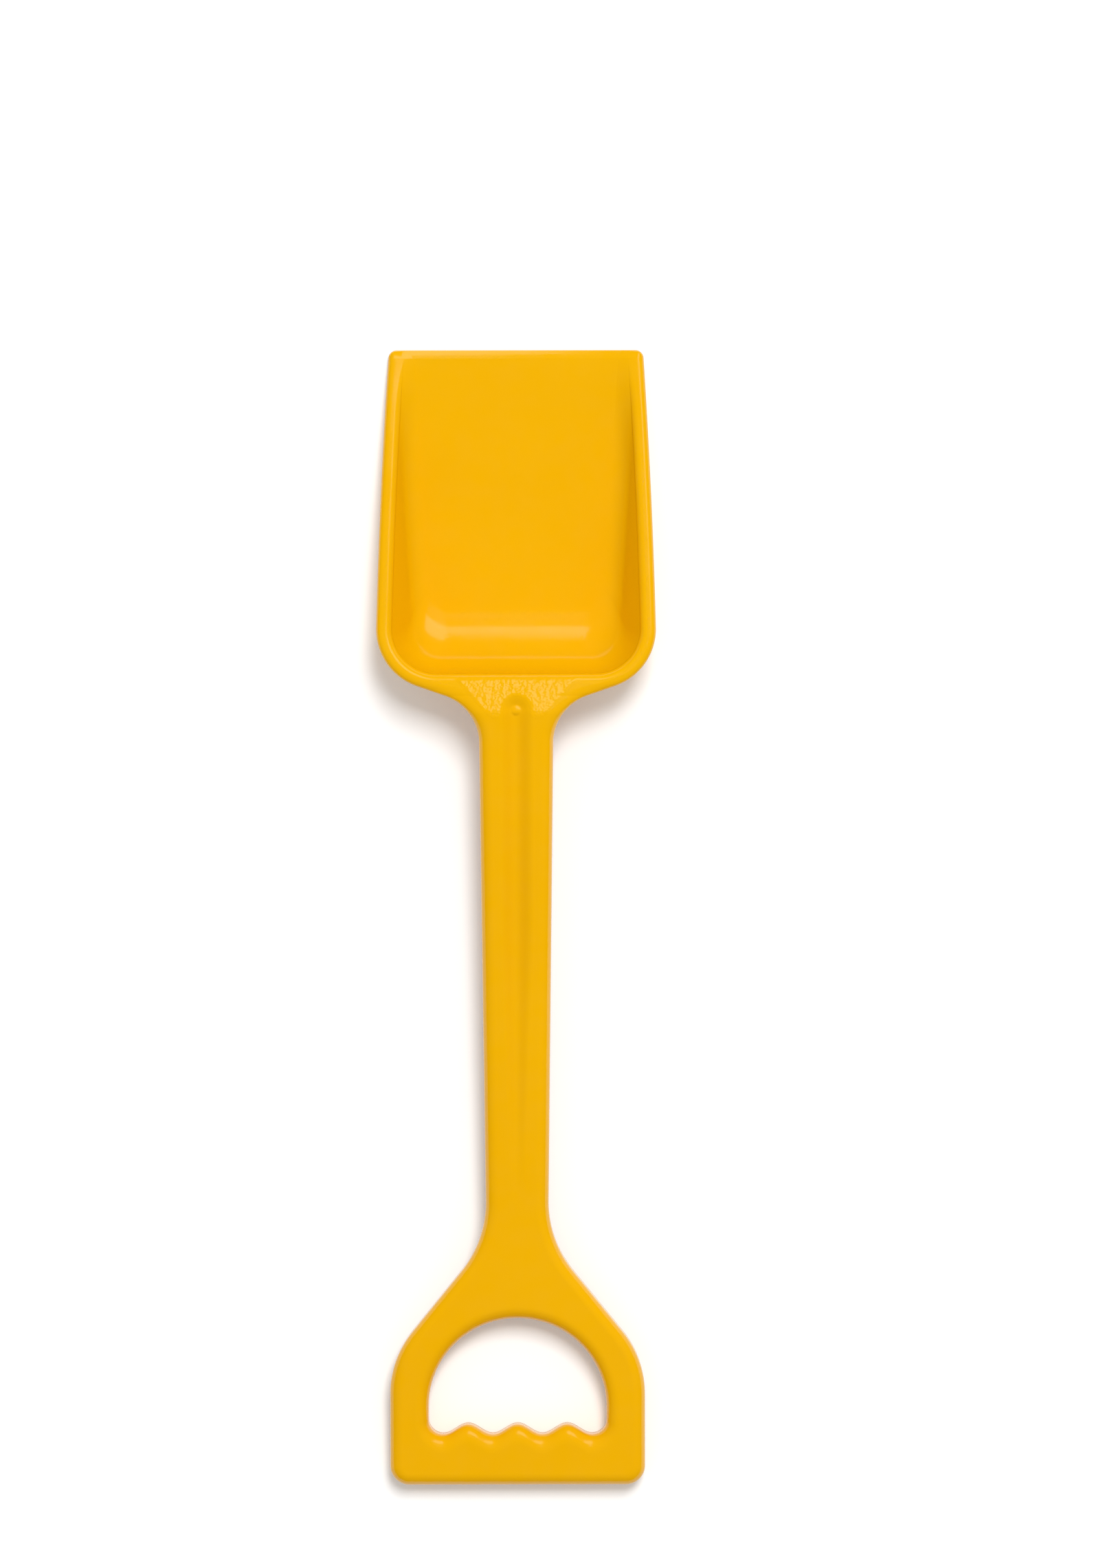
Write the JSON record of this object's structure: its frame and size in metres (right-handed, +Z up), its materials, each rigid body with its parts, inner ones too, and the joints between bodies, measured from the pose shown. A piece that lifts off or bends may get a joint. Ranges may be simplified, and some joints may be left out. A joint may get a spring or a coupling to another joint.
{
  "type": "sand shovel",
  "caption": "Moulded plastic sand shovel: a deep scoop pan with a sloping flanged rim, a fluted channel stem and a D handle with a finger-wave grip.",
  "frame": {"origin": "on the ground under the middle of the shovel, with the pan lying flat on its back, face up", "axes": "+X across, +Y along the shovel from the handle to the lip of the pan, +Z up out of the pan's open face"},
  "size_m": [0.101, 0.4122, 0.0302],
  "materials": {
    "yellow_moulding": "semi-gloss moulded polyethylene, warm yellow, coloured through"
  },
  "bodies": {
    "root": {"scoop_pan": "yellow_moulding", "neck": "yellow_moulding", "stem": "yellow_moulding", "handle_yoke": "yellow_moulding", "finger_grip": "yellow_moulding"}
  },
  "joints": []
}
